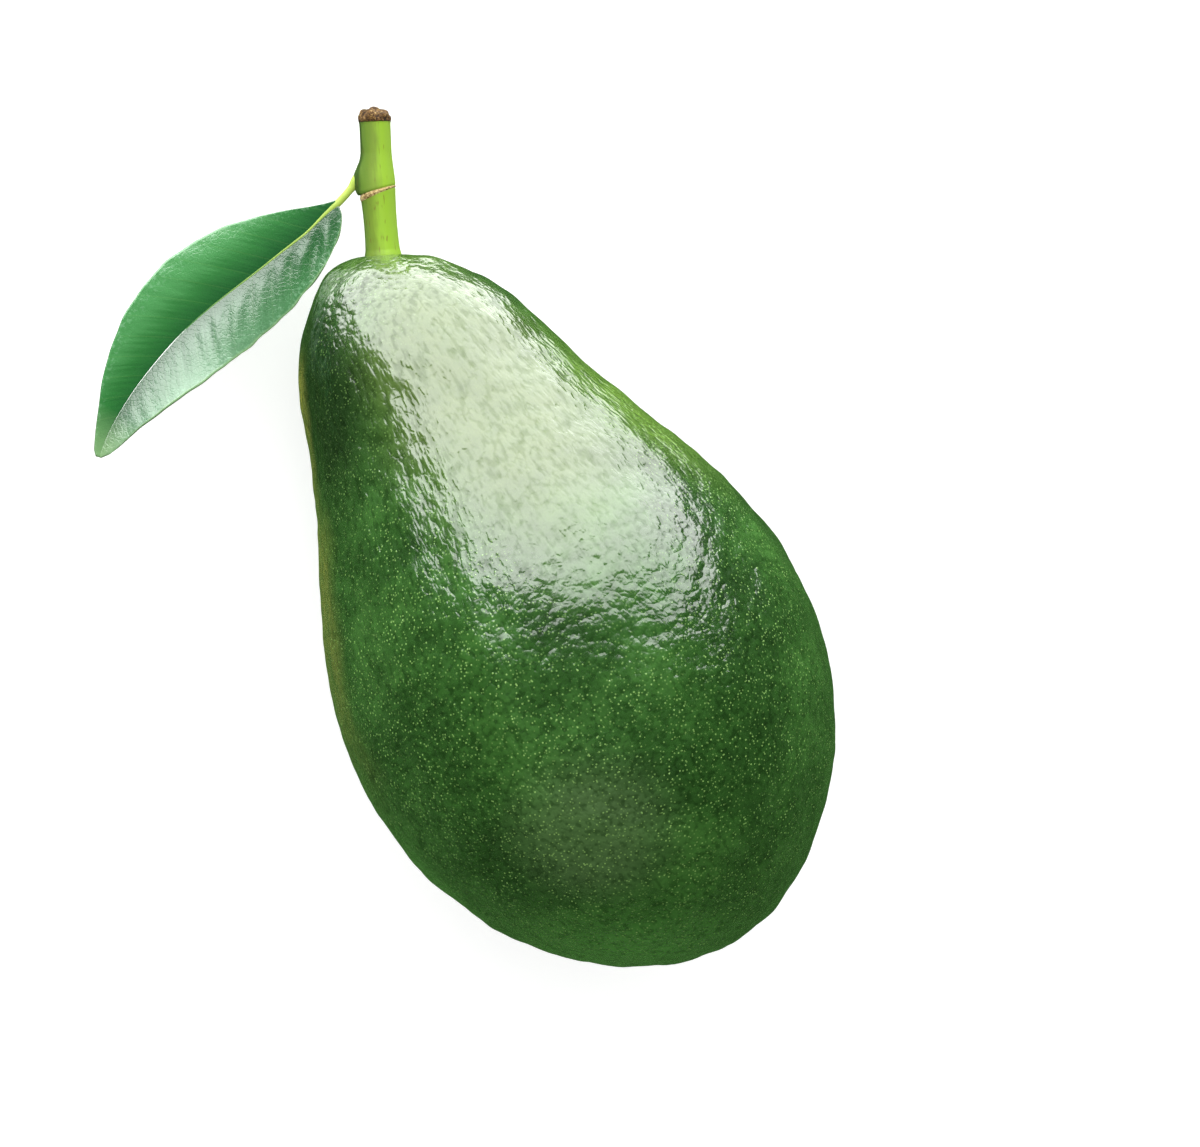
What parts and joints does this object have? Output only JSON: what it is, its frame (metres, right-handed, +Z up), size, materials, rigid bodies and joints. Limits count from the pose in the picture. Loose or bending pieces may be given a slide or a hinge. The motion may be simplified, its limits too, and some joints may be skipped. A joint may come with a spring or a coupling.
{
  "type": "avocado, whole, with a cut stalk and one leaf",
  "caption": "Green pear-shaped avocado as picked, lying on its side, with a short jointed stalk and one leaf at its neck.",
  "frame": {"origin": "middle of the small flat spot that the fruit lies on, at the height of the surface", "axes": "+Z up, +Y from the flat spot towards the neck and the stalk in plan, +X to the right seen from the blossom end; the leaf is on the -X side"},
  "size_m": [0.0859, 0.1342, 0.0755],
  "materials": {
    "skin": "glossy",
    "stalk": "satin",
    "leaf": "satin"
  },
  "bodies": {
    "root": {"fruit": "skin", "pedicel": "stalk", "peduncle": "stalk", "leaf": "leaf"}
  },
  "joints": []
}
